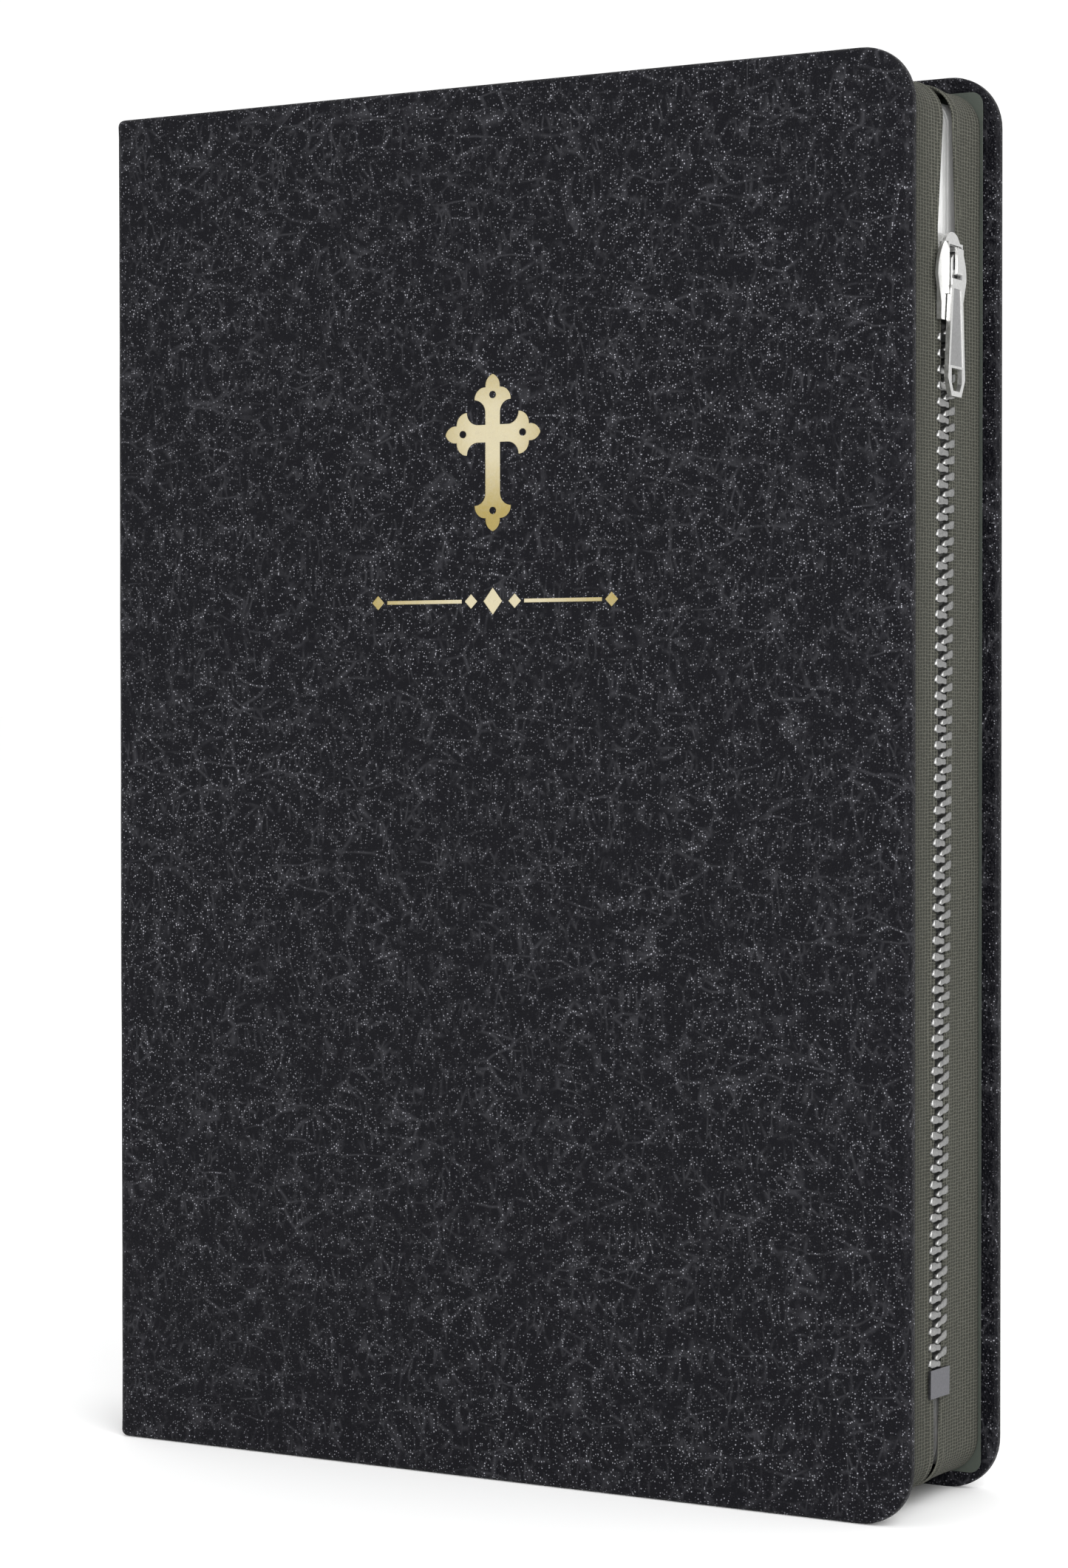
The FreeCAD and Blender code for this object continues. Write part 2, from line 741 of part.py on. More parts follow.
for side in SIDES:
    if side == "front":
        skin = cover_leather(side, "front_leather_blank")
        depth = size("recess_depth")
        foil = size("foil_thickness")
        ornaments = {"cross_foil": (cross_faces(), size("cross_middle_height")),
                     "rule_foil": (rule_faces(), size("rule_middle_height"))}
        sunk = []
        for label, (faces, middle) in ornaments.items():
            sunk.append(on_front(faces, middle, depth, depth + 1))
            parts.append(feature(label, on_front(faces, middle, depth, foil)))
        recesses = feature("ornament_recesses", Part.makeCompound(sunk))
        leather = doc.addObject("Part::Cut", "front_cover_leather")
        leather.Label = "front_cover_leather"
        leather.Base = skin
        leather.Tool = recesses
        parts.append(leather)
    else:
        parts.append(cover_leather(side, "back_cover_leather"))
    parts.append(recess_sheet(side, f"{side}_cover_board", cell("board_thickness"),
                              cell("lining_thickness")))
    parts.append(recess_sheet(side, f"{side}_lining", cell("lining_thickness"), dim(0)))
    parts.append(gusset(side, f"{side}_gusset"))
    parts.append(teeth(side, f"{side}_zip_teeth"))
    parts.append(flyleaf(side))

parts.append(bottom_stop())
parts.append(slider_body())
parts.append(slider_crown())
parts.append(lock_spring())
parts.append(pull_tab())

parts.append(spine_leather())
sheet_x = spine_x + cell("spine_skin")
parts.append(spine_sheet("spine_stiffener", sheet_x, cell("stiffener_thickness"),
                         inner_y - 0.1, 2))
sheet_x = sheet_x + cell("stiffener_thickness")
parts.append(spine_sheet("spine_liner", sheet_x, cell("liner_thickness"), inner_y - 0.4, 4))
sheet_x = sheet_x + cell("liner_thickness")
parts.append(spine_sheet("spine_gauze", sheet_x, cell("gauze_thickness"), inner_y - 0.5, 12))
parts.append(section_backs())
parts.append(headband("headband_head", page_low + cell("page_height")))
parts.append(headband("headband_tail", page_low - cell("headband_height")))
for number in range(SECTION_COUNT):
    low, high = leaf_band(number)
    turns = number not in (SECTION_COUNT // 2 - 1, SECTION_COUNT // 2)
    parts.append(leaves(f"page_section_{number + 1}", low, high, turns))

finish_check()
os.makedirs("parts", exist_ok=True)
for piece in parts:
    if piece.Shape.isNull() or not piece.Shape.isValid():
        raise RuntimeError(f"{piece.Label}: shape is null or not valid")
for piece in parts:
    piece.Shape.exportStep(f"parts/{piece.Label}.step")
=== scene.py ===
import json
import math

import bmesh
import bpy
import numpy as np
from mathutils import Matrix, Vector, noise


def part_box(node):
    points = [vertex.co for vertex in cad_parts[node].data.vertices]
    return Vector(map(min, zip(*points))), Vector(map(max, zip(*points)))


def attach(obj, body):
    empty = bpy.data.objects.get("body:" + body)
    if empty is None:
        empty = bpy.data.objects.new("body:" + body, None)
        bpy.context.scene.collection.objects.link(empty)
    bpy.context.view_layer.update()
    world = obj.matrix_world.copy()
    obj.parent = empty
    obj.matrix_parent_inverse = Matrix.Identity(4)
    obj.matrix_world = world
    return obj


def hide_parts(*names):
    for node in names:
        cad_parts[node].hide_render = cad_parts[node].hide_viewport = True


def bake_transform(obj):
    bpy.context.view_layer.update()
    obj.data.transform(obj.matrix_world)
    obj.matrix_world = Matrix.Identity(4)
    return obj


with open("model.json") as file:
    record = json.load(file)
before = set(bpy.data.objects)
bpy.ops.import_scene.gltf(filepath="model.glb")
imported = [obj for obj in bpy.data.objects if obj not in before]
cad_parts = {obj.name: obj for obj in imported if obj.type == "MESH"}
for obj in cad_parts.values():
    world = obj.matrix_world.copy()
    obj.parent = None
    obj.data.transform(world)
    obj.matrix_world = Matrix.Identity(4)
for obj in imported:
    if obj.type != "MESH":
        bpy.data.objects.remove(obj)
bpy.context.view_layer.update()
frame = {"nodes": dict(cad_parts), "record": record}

# A zippered book that stands on its tail: head up, front cover towards -Y, fore-edge towards +X.
# Lengths in this script are millimetres; every mesh is scaled to metres when it is made.

MM = 0.001
SIDES = {"front": -1, "back": 1}


def box_mm(node):
    low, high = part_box(node)
    return np.array(low) / MM, np.array(high) / MM


cover_low, cover_high = box_mm("front_cover_leather")
spine_low, spine_high = box_mm("spine_leather")
wall_low, wall_high = box_mm("front_gusset")
lining_low = box_mm("front_lining")[0]
cross_low, cross_high = box_mm("cross_foil")
rule_low, rule_high = box_mm("rule_foil")

SPINE_X = spine_low[0]
FORE_X = cover_high[0]
HEIGHT = cover_high[2]
HALF_THICK = spine_high[1]
COVER_THICK = cover_high[1] - cover_low[1]
INNER_Y = HALF_THICK - COVER_THICK


# ---------------------------------------------------------------- meshes

def new_piece(name, verts, faces, material, smooth=True):
    """Mesh object made from millimetre coordinates."""
    mesh = bpy.data.meshes.new(name)
    points = np.asarray(verts, float) * MM
    mesh.from_pydata(points.tolist(), [], [tuple(int(i) for i in f) for f in faces])
    mesh.update()
    obj = bpy.data.objects.new(name, mesh)
    bpy.context.scene.collection.objects.link(obj)
    recalculate_normals(mesh)
    mesh.polygons.foreach_set("use_smooth", [smooth] * len(mesh.polygons))
    mesh.materials.append(material)
    return obj


def recalculate_normals(mesh):
    work = bmesh.new()
    work.from_mesh(mesh)
    bmesh.ops.recalc_face_normals(work, faces=work.faces)
    work.to_mesh(mesh)
    work.free()


def bevel(obj, width, segments=3, angle=30):
    """Rounds the hard edges of a piece; width in millimetres."""
    modifier = obj.modifiers.new("Bevel", "BEVEL")
    modifier.width = width * MM
    modifier.segments = segments
    modifier.limit_method = "ANGLE"
    modifier.angle_limit = math.radians(angle)
    modifier.harden_normals = True
    for polygon in obj.data.polygons:
        polygon.use_smooth = True


def grid_faces(rows, columns, start=0, closed=False):
    """Quads between rows of points; closed joins each row's last point to its first."""
    faces = []
    for i in range(rows - 1):
        for j in range(columns if closed else columns - 1):
            k = (j + 1) % columns
            faces.append((start + i * columns + j, start + i * columns + k,
                          start + (i + 1) * columns + k, start + (i + 1) * columns + j))
    return faces


def ladder(low, high, fine, step):
    """Places from low to high: the fine offsets at each end, about one step apart between."""
    inner_low = low + fine[-1]
    inner_high = high - fine[-1]
    count = max(2, int(round((inner_high - inner_low) / step)))
    middle = np.linspace(inner_low, inner_high, count + 1)[1:-1]
    return np.concatenate([low + np.array(fine), middle, (high - np.array(fine))[::-1]])


# ---------------------------------------------------------------- shader helpers

class Shader:
    """A material's node tree, with short calls for the nodes that these materials use."""

    def __init__(self, name, roughness, metallic=0.0, specular=0.5):
        self.material = bpy.data.materials.new(name)
        self.material.use_nodes = True
        self.tree = self.material.node_tree
        self.principled = self.tree.nodes["Principled BSDF"]
        self.principled.inputs["Roughness"].default_value = roughness
        self.principled.inputs["Metallic"].default_value = metallic
        self.principled.inputs["Specular IOR Level"].default_value = specular

    def node(self, kind, **settings):
        node = self.tree.nodes.new(kind)
        for key, value in settings.items():
            setattr(node, key, value)
        return node

    def link(self, source, target):
        self.tree.links.new(source, target)

    def coords(self, output="Object"):
        return self.node("ShaderNodeTexCoord").outputs[output]

    def mapping(self, vector, scale):
        node = self.node("ShaderNodeMapping")
        node.inputs["Scale"].default_value = scale
        self.link(vector, node.inputs["Vector"])
        return node.outputs["Vector"]

    def noise(self, vector, size, detail=2.0, rough=0.5):
        """Noise whose features are about that many millimetres across."""
        node = self.node("ShaderNodeTexNoise")
        node.inputs["Scale"].default_value = 1.0 / (size * MM)
        node.inputs["Detail"].default_value = detail
        node.inputs["Roughness"].default_value = rough
        self.link(vector, node.inputs["Vector"])
        return node

    def warp(self, vector, size, reach):
        """The place moved about by noise of that size, up to about reach millimetres."""
        wobble = self.noise(vector, size, detail=2.0)
        moved = self.node("ShaderNodeVectorMath", operation="MULTIPLY_ADD")
        self.link(wobble.outputs["Color"], moved.inputs[0])
        moved.inputs[1].default_value = (reach * MM,) * 3
        self.link(vector, moved.inputs[2])
        return moved.outputs["Vector"]

    def voronoi(self, vector, size, feature="F1"):
        node = self.node("ShaderNodeTexVoronoi", feature=feature)
        node.inputs["Scale"].default_value = 1.0 / (size * MM)
        self.link(vector, node.inputs["Vector"])
        return node

    def math(self, operation, a, b=0.0, clamp=False):
        node = self.node("ShaderNodeMath", operation=operation, use_clamp=clamp)
        for socket, value in zip(node.inputs, (a, b)):
            if isinstance(value, (int, float)):
                socket.default_value = value
            else:
                self.link(value, socket)
        return node.outputs[0]

    def spread(self, value, low, high, out_low=0.0, out_high=1.0):
        node = self.node("ShaderNodeMapRange", clamp=True)
        for key, number in (("From Min", low), ("From Max", high),
                            ("To Min", out_low), ("To Max", out_high)):
            node.inputs[key].default_value = number
        self.link(value, node.inputs["Value"])
        return node.outputs["Result"]

    def mix(self, factor, first, second):
        """Colour from first to second as the factor goes from 0 to 1."""
        node = self.node("ShaderNodeMix", data_type="RGBA")
        for socket, value in ((node.inputs[6], first), (node.inputs[7], second)):
            if isinstance(value, tuple):
                socket.default_value = (*value, 1.0)
            else:
                self.link(value, socket)
        self.link(factor, node.inputs[0])
        return node.outputs[2]

    def colour(self, value):
        if isinstance(value, tuple):
            self.principled.inputs["Base Color"].default_value = (*value, 1.0)
        else:
            self.link(value, self.principled.inputs["Base Color"])

    def roughness(self, value):
        self.link(value, self.principled.inputs["Roughness"])

    def bump(self, height, depth, after=None):
        """Bump of that depth in millimetres, added to the one before it."""
        node = self.node("ShaderNodeBump")
        node.inputs["Strength"].default_value = 1.0
        node.inputs["Distance"].default_value = depth * MM
        self.link(height, node.inputs["Height"])
        if after is not None:
            self.link(after, node.inputs["Normal"])
        self.link(node.outputs["Normal"], self.principled.inputs["Normal"])
        return node.outputs["Normal"]


# ---------------------------------------------------------------- materials

def leather_material():
    """Imitation leather: black, with fine pebbles and short flowing wrinkles whose highlights are
    painted into the colour.
    """
    s = Shader("cover_leather", roughness=0.46, specular=0.09)
    where = s.coords()
    bent = s.warp(where, 2.2, 0.9)
    flow = s.warp(where, 16.0, 7.0)
    pebble = s.voronoi(bent, 0.4)
    # Painted highlights: the tops of a random share of the pebbles are painted pale.
    painted_glints = s.spread(pebble.outputs["Distance"], 0.14, 0.32, 1.0, 0.0)
    chance = s.node("ShaderNodeSeparateColor")
    s.link(pebble.outputs["Color"], chance.inputs["Color"])
    painted_glints = s.math("MULTIPLY", painted_glints, s.spread(chance.outputs[0], 0.3, 1.0))
    lines = None
    for stretch, cell, width, gap in (((1.0, 1.0, 0.4), 1.5, 0.15, 3.5),
                                      ((0.45, 1.0, 1.0), 3.4, 0.07, 5.0)):
        edge = s.voronoi(s.mapping(flow, stretch), cell, "DISTANCE_TO_EDGE")
        line = s.spread(edge.outputs["Distance"], 0.0, width, 1.0, 0.0)
        broken = s.spread(s.noise(where, gap, detail=4.0).outputs["Fac"], 0.45, 0.65)
        line = s.math("MULTIPLY", line, broken)
        lines = line if lines is None else s.math("MAXIMUM", lines, line)
    patch = s.spread(s.noise(where, 14.0, detail=2.0).outputs["Fac"], 0.3, 0.7, 0.3, 0.8)
    broad = s.spread(s.noise(where, 70.0, detail=2.0).outputs["Fac"], 0.36, 0.64, 0.55, 0.95)
    # Painted highlights along the wrinkles, brighter where they cross a pebble highlight.
    painted_wrinkle_glints = s.math("MULTIPLY", lines, s.math("ADD", painted_glints, 0.07))
    # The pebble highlights are painted stronger and weaker in random broad patches.
    painted_glints = s.math("MULTIPLY", painted_glints, s.math("MULTIPLY", s.math("ADD", patch, 0.2), broad))
    light = s.math("ADD", painted_glints, painted_wrinkle_glints, clamp=True)
    # Black base colour, painted pale where the highlights fall; the same places are glossier.
    s.colour(s.mix(light, (0.0025, 0.0025, 0.004), (0.3, 0.3, 0.33)))
    s.roughness(s.spread(light, 0.0, 1.0, 0.5, 0.34))
    first = s.bump(s.math("SUBTRACT", 1.0, pebble.outputs["Distance"]), 0.12)
    s.bump(lines, 0.06, after=first)
    return s.material


def gold_material(name, centre, reach):
    """Pressed foil with a painted sheen: palest about its centre, painted a darker, deeper gold towards
    its tips.
    """
    s = Shader(name, roughness=0.3, metallic=1.0)
    where = s.coords()
    mottle = s.noise(where, 0.5, detail=3.0).outputs["Fac"]
    away = s.node("ShaderNodeVectorMath", operation="DISTANCE")
    s.link(where, away.inputs[0])
    away.inputs[1].default_value = tuple(float(c) * MM for c in centre)
    # Painted sheen and shade: pale near centre, darkening to the tip colour by reach.
    tone = s.spread(away.outputs["Value"], 0.3 * reach * MM, reach * MM)
    tone = s.math("ADD", tone, s.spread(mottle, 0.3, 0.7, -0.12, 0.12), clamp=True)
    s.colour(s.mix(tone, (0.68, 0.61, 0.42), (0.42, 0.33, 0.12)))
    s.roughness(s.spread(mottle, 0.3, 0.7, 0.25, 0.42))
    s.bump(mottle, 0.02)
    return s.material


def weave_material(name, shade_from, shade_to):
    """Woven zip tape: small holes between threads, on UV lengths in millimetres.

    Painted shade darkens it where it runs in under the cover, at shade_from, fading out by shade_to.
    """
    s = Shader(name, roughness=0.9, specular=0.15)
    place = s.node("ShaderNodeSeparateXYZ")
    s.link(s.coords("UV"), place.inputs[0])
    along, across = place.outputs[0], place.outputs[1]
    jitter = s.noise(s.coords(), 1.6, detail=3.0).outputs["Fac"]
    along_turn = s.math("MULTIPLY", along, 2 * math.pi / 1.05)
    across_turn = s.math("MULTIPLY", across, 2 * math.pi / 1.9)
    shifted = s.math("ADD", along_turn, s.math("MULTIPLY", jitter, 3.2))
    shifted_across = s.math("ADD", across_turn, s.math("MULTIPLY", jitter, 1.2))
    lattice = s.math("MULTIPLY", s.math("COSINE", shifted), s.math("COSINE", shifted_across))
    hole = s.spread(s.math("ABSOLUTE", lattice), 0.28, 0.62)
    fuzz = s.noise(s.coords(), 0.3, detail=4.0, rough=0.7).outputs["Fac"]
    tone = s.spread(fuzz, 0.35, 0.65)
    threads = s.mix(tone, (0.056, 0.056, 0.046), (0.1, 0.1, 0.083))
    woven = s.mix(s.math("MULTIPLY", hole, 0.8), threads, (0.02, 0.021, 0.017))
    # Painted shade: the weave is painted towards a dark colour near shade_from.
    painted_shade_fade = s.spread(across, shade_from, shade_to)
    s.colour(s.mix(painted_shade_fade, s.mix(s.math("MULTIPLY", tone, 0.3), (0.022, 0.023, 0.018), woven), woven))
    first = s.bump(s.math("SUBTRACT", 1.0, hole), 0.12)
    s.bump(fuzz, 0.05, after=first)
    return s.material


def lining_material():
    s = Shader("lining_vinyl", roughness=0.55, specular=0.3)
    where = s.coords()
    fine = s.noise(where, 0.6, detail=3.0).outputs["Fac"]
    tone = s.spread(s.noise(where, 12.0).outputs["Fac"], 0.3, 0.7)
    s.colour(s.mix(tone, (0.034, 0.041, 0.034), (0.046, 0.054, 0.044)))
    s.roughness(s.spread(fine, 0.3, 0.7, 0.45, 0.62))
    s.bump(fine, 0.03)
    return s.material


def metal_material(name, dark, bright, roughness):
    """Plated metal with a fine mottled surface."""
    s = Shader(name, roughness=roughness, metallic=1.0)
    where = s.coords()
    mottle = s.noise(where, 0.35, detail=4.0, rough=0.65).outputs["Fac"]
    tone = s.spread(mottle, 0.3, 0.7)
    s.colour(s.mix(tone, dark, bright))
    s.roughness(s.spread(mottle, 0.3, 0.7, roughness - 0.06, roughness + 0.1))
    s.bump(mottle, 0.012)
    return s.material


def paper_material(name, pale, shade, direction):
    """Paper whose leaf edges show as fine uneven lines across the given direction."""
    s = Shader(name, roughness=0.85, specular=0.2)
    where = s.mapping(s.coords(), direction)
    lines = s.noise(where, 2.2, detail=5.0, rough=0.75).outputs["Fac"]
    tone = s.spread(lines, 0.35, 0.65)
    s.colour(s.mix(tone, shade, pale))
    s.bump(lines, 0.05)
    return s.material


def woven_material(name, pale, shade, size):
    """Plain open weave or coarse board."""
    s = Shader(name, roughness=0.9, specular=0.2)
    fibres = s.noise(s.coords(), size, detail=4.0, rough=0.7).outputs["Fac"]
    s.colour(s.mix(s.spread(fibres, 0.3, 0.7), shade, pale))
    s.bump(fibres, 0.08)
    return s.material


LEATHER = leather_material()
# The gold foils' painted sheen is palest about the cross's crossbar and the rule's middle.
CROSSBAR_RISE = 3.3
CROSS_SHEEN_MIDDLE = (cross_low + cross_high) / 2 + np.array([0, 0, CROSSBAR_RISE])
GOLD = {"cross_foil": gold_material("gold_foil", CROSS_SHEEN_MIDDLE, 13.0),
        "rule_foil": gold_material("gold_foil_rule", (rule_low + rule_high) / 2, 24.0)}
# Each side's weave has painted shade where it runs in under its cover.
WEAVE = {"front": weave_material("gusset_weave_front", -16.5, -3.0),
         "back": weave_material("gusset_weave_back", 17.5, 14.5)}
LINING = lining_material()
TOOTH_METAL = metal_material("tooth_metal", (0.17, 0.17, 0.17), (0.34, 0.34, 0.33), 0.38)
SLIDER_METAL = metal_material("slider_metal", (0.5, 0.5, 0.49), (0.66, 0.66, 0.65), 0.34)
PANEL_METAL = metal_material("panel_metal", (0.24, 0.24, 0.24), (0.34, 0.34, 0.34), 0.38)
# Near-black metal for the slider's recess: partly its own black, partly painted shade.
RECESS_BLACK_AND_SHADE = metal_material("recess_black_and_painted_shade", (0.02, 0.02, 0.02), (0.06, 0.06, 0.06), 0.5)
STOP_STEEL = metal_material("stop_steel", (0.085, 0.085, 0.095), (0.15, 0.15, 0.165), 0.34)
PAPER = paper_material("page_paper", (0.86, 0.86, 0.855), (0.74, 0.74, 0.73), (1, 14, 1))
FLYLEAF = woven_material("flyleaf_paper", (0.82, 0.82, 0.8), (0.76, 0.76, 0.74), 0.8)
KRAFT = woven_material("kraft_paper", (0.5, 0.38, 0.25), (0.4, 0.3, 0.19), 0.6)
GAUZE = woven_material("gauze", (0.75, 0.73, 0.66), (0.5, 0.49, 0.44), 0.5)
BOARD = woven_material("grey_board", (0.45, 0.43, 0.39), (0.33, 0.31, 0.28), 0.7)
BAND = woven_material("headband_cloth", (0.8, 0.79, 0.76), (0.62, 0.61, 0.58), 0.4)


def paint(node, material):
    """Gives a CAD node that stays in view its material."""
    obj = frame["nodes"][node]
    obj.data.materials.clear()
    obj.data.materials.append(material)
    return obj


# ---------------------------------------------------------------- leather skins

CORNER = 8.5
SPINE_BEND = 1.6
OUTER_ROUND = 1.15
INNER_ROUND = 0.55
FINE_STEPS = (0.0, 0.05, 0.17, 0.35, 0.58, 0.85, 1.15, 1.6, 2.3, 3.1, 3.3, 3.9)
FLOOR_INSET = 3.2
FLOOR_DEPTH = 0.62
SKIN_STEP = 1.6
BEND_STATIONS = 9
PRESS_REACH = 1.2


def wrapped(u, v, h, sign):
    """Point of the skin: u runs from the fore-edge round to the middle of the spine, v up, h out."""
    flat = FORE_X - SPINE_X - SPINE_BEND
    arc = SPINE_BEND * math.pi / 2
    if u < flat:
        return FORE_X - u, sign * (HALF_THICK + h), v
    if u < flat + arc:
        turn = (u - flat) / SPINE_BEND
        radius = SPINE_BEND + h
        x = SPINE_X + SPINE_BEND - radius * math.sin(turn)
        return x, sign * (HALF_THICK - SPINE_BEND + radius * math.cos(turn)), v
    return SPINE_X - h, sign * (HALF_THICK - SPINE_BEND - (u - flat - arc)), v


def round_corner(u, v):
    """Moves a point of a square-cornered sheet so that its fore-edge corners become round."""
    low = v < HEIGHT / 2
    rise = v if low else HEIGHT - v
    if u >= CORNER or rise >= CORNER:
        return u, v, min(u, rise)
    a = (CORNER - u) / CORNER
    b = (CORNER - rise) / CORNER
    out_u = a * math.sqrt(1 - b * b / 2)
    out_v = b * math.sqrt(1 - a * a / 2)
    new_rise = CORNER * (1 - out_v)
    inset = CORNER * (1 - math.hypot(out_u, out_v))
    return CORNER * (1 - out_u), new_rise if low else HEIGHT - new_rise, inset


def quarter(inset, radius):
    """Depth of a rounded arris at that distance from the edge."""
    left = max(0.0, radius - inset)
    return radius - math.sqrt(max(0.0, radius * radius - left * left))


def undulation(x, y, z):
    """Slow unevenness of soft leather, in millimetres."""
    broad = noise.noise(Vector((x / 34, y / 34, z / 34)))
    small = noise.noise(Vector((x / 9 + 7, y / 9, z / 9)))
    return 0.07 * broad + 0.035 * small


def leather_skin(side):
    """Cover and half of the spine as one closed skin, thinner where the board lies under the lining."""
    sign = SIDES[side]
    flat = FORE_X - SPINE_X - SPINE_BEND
    arc = SPINE_BEND * math.pi / 2
    whole = flat + arc + HALF_THICK - SPINE_BEND
    bend = flat + arc * np.linspace(0, 1, BEND_STATIONS)
    u_low = ladder(0, flat + FINE_STEPS[-1], FINE_STEPS, SKIN_STEP)
    u_low = u_low[u_low < flat - 0.3]
    u_high = np.linspace(flat + arc, whole, BEND_STATIONS)[1:]
    us = np.concatenate([u_low, bend, u_high])
    vs = ladder(0, HEIGHT, FINE_STEPS, SKIN_STEP)
    lining_end = FORE_X - lining_low[0]
    outer, inner = [], []
    for u in us:
        for v in vs:
            new_u, new_v, inset = round_corner(u, v)
            x, y, z = wrapped(new_u, new_v, 0, sign)
            edge = min(1.0, inset / 3.0)
            top = -quarter(inset, OUTER_ROUND) - 0.02 + edge * undulation(x, y, z) - 0.1 * edge
            outer.append(wrapped(new_u, new_v, min(top, 0.0), sign))
            thick = COVER_THICK if u < flat - 0.5 else COVER_THICK - 0.25
            sunk = FLOOR_INSET < new_u < lining_end and FLOOR_INSET < new_v < HEIGHT - FLOOR_INSET
            raised = FLOOR_DEPTH if sunk else 0.0
            low = -thick + raised + quarter(inset, INNER_ROUND)
            inner.append(wrapped(new_u, new_v, low, sign))
    rows, columns = len(us), len(vs)
    count = rows * columns
    faces = grid_faces(rows, columns) + grid_faces(rows, columns, count)
    rim = list(range(columns))
    rim += [i * columns + columns - 1 for i in range(1, rows)]
    rim += [(rows - 1) * columns + j for j in range(columns - 2, -1, -1)]
    rim += [i * columns for i in range(rows - 2, 0, -1)]
    for a, b in zip(rim, rim[1:] + rim[:1]):
        faces.append((a, b, b + count, a + count))
    return new_piece(f"{side}_leather_skin", outer + inner, faces, LEATHER)


def press_in(leather, node):
    """Sinks the shape of a foil node straight into the leather."""
    foil = frame["nodes"][node]
    work = bmesh.new()
    work.from_mesh(foil.data)
    others = [f for f in work.faces if f.normal.y < 0.9]
    bmesh.ops.delete(work, geom=others, context="FACES")
    bmesh.ops.remove_doubles(work, verts=work.verts, dist=1e-7)
    bmesh.ops.dissolve_limit(work, angle_limit=0.02, verts=work.verts, edges=work.edges)
    bmesh.ops.triangulate(work, faces=work.faces)
    grown = bmesh.ops.extrude_face_region(work, geom=work.faces[:])["geom"]
    for vert in (g for g in grown if isinstance(g, bmesh.types.BMVert)):
        vert.co.y -= PRESS_REACH * MM
    bmesh.ops.recalc_face_normals(work, faces=work.faces)
    mesh = bpy.data.meshes.new("press")
    work.to_mesh(mesh)
    work.free()
    tool = bpy.data.objects.new("press", mesh)
    bpy.context.scene.collection.objects.link(tool)
    cut = leather.modifiers.new("Press", "BOOLEAN")
    cut.operation = "DIFFERENCE"
    cut.solver = "EXACT"
    cut.object = tool
    bpy.context.view_layer.update()
    graph = bpy.context.evaluated_depsgraph_get()
    pressed = bpy.data.meshes.new_from_object(leather.evaluated_get(graph))
    leather.modifiers.clear()
    leather.data = pressed
    bpy.data.objects.remove(tool)


for side, sign in SIDES.items():
    skin = leather_skin(side)
    if side == "front":
        press_in(skin, "cross_foil")
        press_in(skin, "rule_foil")
    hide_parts(f"{side}_cover_leather", "spine_leather")
    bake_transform(skin)

for node, gold in GOLD.items():
    bevel(paint(node, gold), 0.03, 2)
for side in SIDES:
    paint(f"{side}_cover_board", BOARD)
    paint(f"{side}_flyleaf", FLYLEAF)
paint("spine_stiffener", BOARD)
paint("spine_liner", KRAFT)
paint("spine_gauze", GAUZE)
paint("section_backs", PAPER)


# ---------------------------------------------------------------- linings

LINING_INSET = 2.65
LINING_CORNER = 2.0
LINING_PROUD = 0.06
LINING_SUNK = 0.4


def lining(side):
    """Smooth sheet pasted over the board and the turned-in edges of the leather."""
    sign = SIDES[side]
    low_x, high_x = lining_low[0], FORE_X - LINING_INSET
    low_z, high_z = LINING_INSET, HEIGHT - LINING_INSET
    loop = [(low_x, high_z), (low_x, low_z)]
    for middle_z, start in ((low_z + LINING_CORNER, -90), (high_z - LINING_CORNER, 0)):
        for turn in np.linspace(start, start + 90, 7):
            a = math.radians(turn)
            loop.append((high_x - LINING_CORNER + LINING_CORNER * math.cos(a),
                         middle_z + LINING_CORNER * math.sin(a)))
    verts = []
    for depth in (-LINING_PROUD, LINING_SUNK):
        verts += [(x, sign * (INNER_Y + depth), z) for x, z in loop]
    count = len(loop)
    faces = grid_faces(2, count, closed=True)
    faces += [tuple(range(count)), tuple(range(count, 2 * count))]
    sheet = new_piece(f"{side}_pasted_lining", verts, faces, LINING)
    bevel(sheet, 0.05, 2)
    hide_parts(f"{side}_lining")
    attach(sheet, f"{side}_cover")


for side in SIDES:
    lining(side)


# ---------------------------------------------------------------- gusset

WALL_THICK = 0.6
EDGE_THICK = 0.22
WALL_CORNER = 5.75
RIB_PITCH = 0.62
RIBBED = 2.6
BODY_STATIONS = 14


def slit_edge(side):
    """Heights and y of the gusset's slit edge on the fore-edge, read from the CAD wall."""
    node = frame["nodes"][f"{side}_gusset"]
    points = np.array([v.co for v in node.data.vertices]) / MM
    outside = points[np.abs(points[:, 0] - wall_high[0]) < 0.01]
    slit = outside[np.abs(outside[:, 1]) < INNER_Y - 2]
    order = np.argsort(slit[:, 2])
    return slit[order, 2], slit[order, 1]


def wall_path():
    """Points and outward normals (x, z) round the tail, fore-edge and head, with path lengths."""
    low_x, high_x = wall_low[0], wall_high[0]
    low_z, high_z = wall_low[2], wall_high[2]
    path = []
    for x in np.linspace(low_x, high_x - WALL_CORNER, 60):
        path.append((x, low_z, 0.0, -1.0))
    middle_x = high_x - WALL_CORNER
    tail_z, head_z = low_z + WALL_CORNER, high_z - WALL_CORNER

    def turn_corner(middle_z, start):
        for turn in np.linspace(start, start + 90, 13)[1:]:
            c, s = math.cos(math.radians(turn)), math.sin(math.radians(turn))
            path.append((middle_x + WALL_CORNER * c, middle_z + WALL_CORNER * s, c, s))

    turn_corner(tail_z, -90)
    for z in np.linspace(tail_z, head_z, 170)[1:]:
        path.append((high_x, z, 1.0, 0.0))
    turn_corner(head_z, 0)
    for x in np.linspace(middle_x, low_x, 60)[1:]:
        path.append((x, high_z, 0.0, 1.0))
    path = np.array(path)
    steps = np.hypot(np.diff(path[:, 0]), np.diff(path[:, 1]))
    return path, np.concatenate([[0], np.cumsum(steps)])


